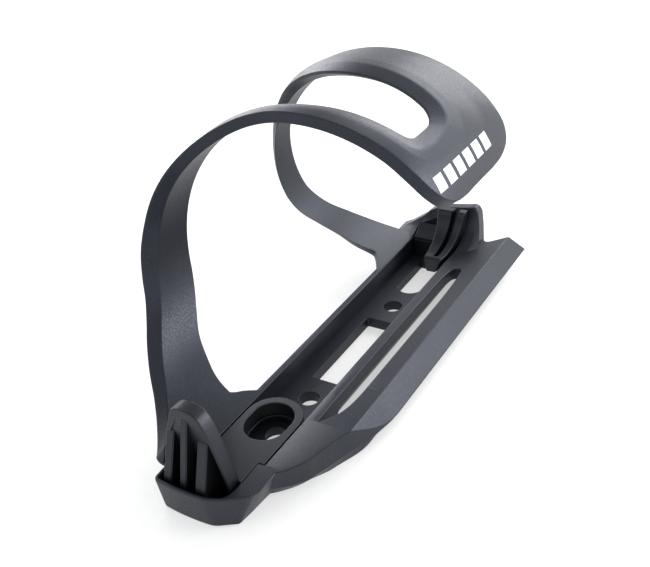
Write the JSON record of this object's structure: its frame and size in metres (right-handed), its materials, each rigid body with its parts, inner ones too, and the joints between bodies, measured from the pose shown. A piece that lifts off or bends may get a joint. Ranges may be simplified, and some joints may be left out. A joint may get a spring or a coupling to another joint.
{
  "type": "water bottle cage",
  "caption": "Side-entry bottle cage: channelled spine with a wing, two wrapping arms joined by a front pad, and two drop-in bottle stops.",
  "frame": {"origin": "on the mount face, midway between the two frame bolts that are 64 mm apart", "axes": "+X is the open side where the bottle slides in, +Y runs along the bottle towards its neck, +Z points from the mount face towards the bottle"},
  "size_m": [0.0741, 0.1416, 0.0819],
  "materials": {
    "body_nylon": "fine moulded grain, satin black",
    "stop_nylon": "smoother moulded satin black"
  },
  "bodies": {
    "cage": {"cage_body": "body_nylon"},
    "lower_stop_body": {"lower_stop": "stop_nylon"},
    "upper_stop_body": {"upper_stop": "stop_nylon"}
  },
  "joints": [
    {"name": "lower_stop_lift", "type": "slide", "parent": "cage", "child": "lower_stop_body", "axis": [0, 0, 1], "range_m": [0, 0.009]},
    {"name": "upper_stop_lift", "type": "slide", "parent": "cage", "child": "upper_stop_body", "axis": [0, 0, 1], "range_m": [0, 0.006]}
  ]
}
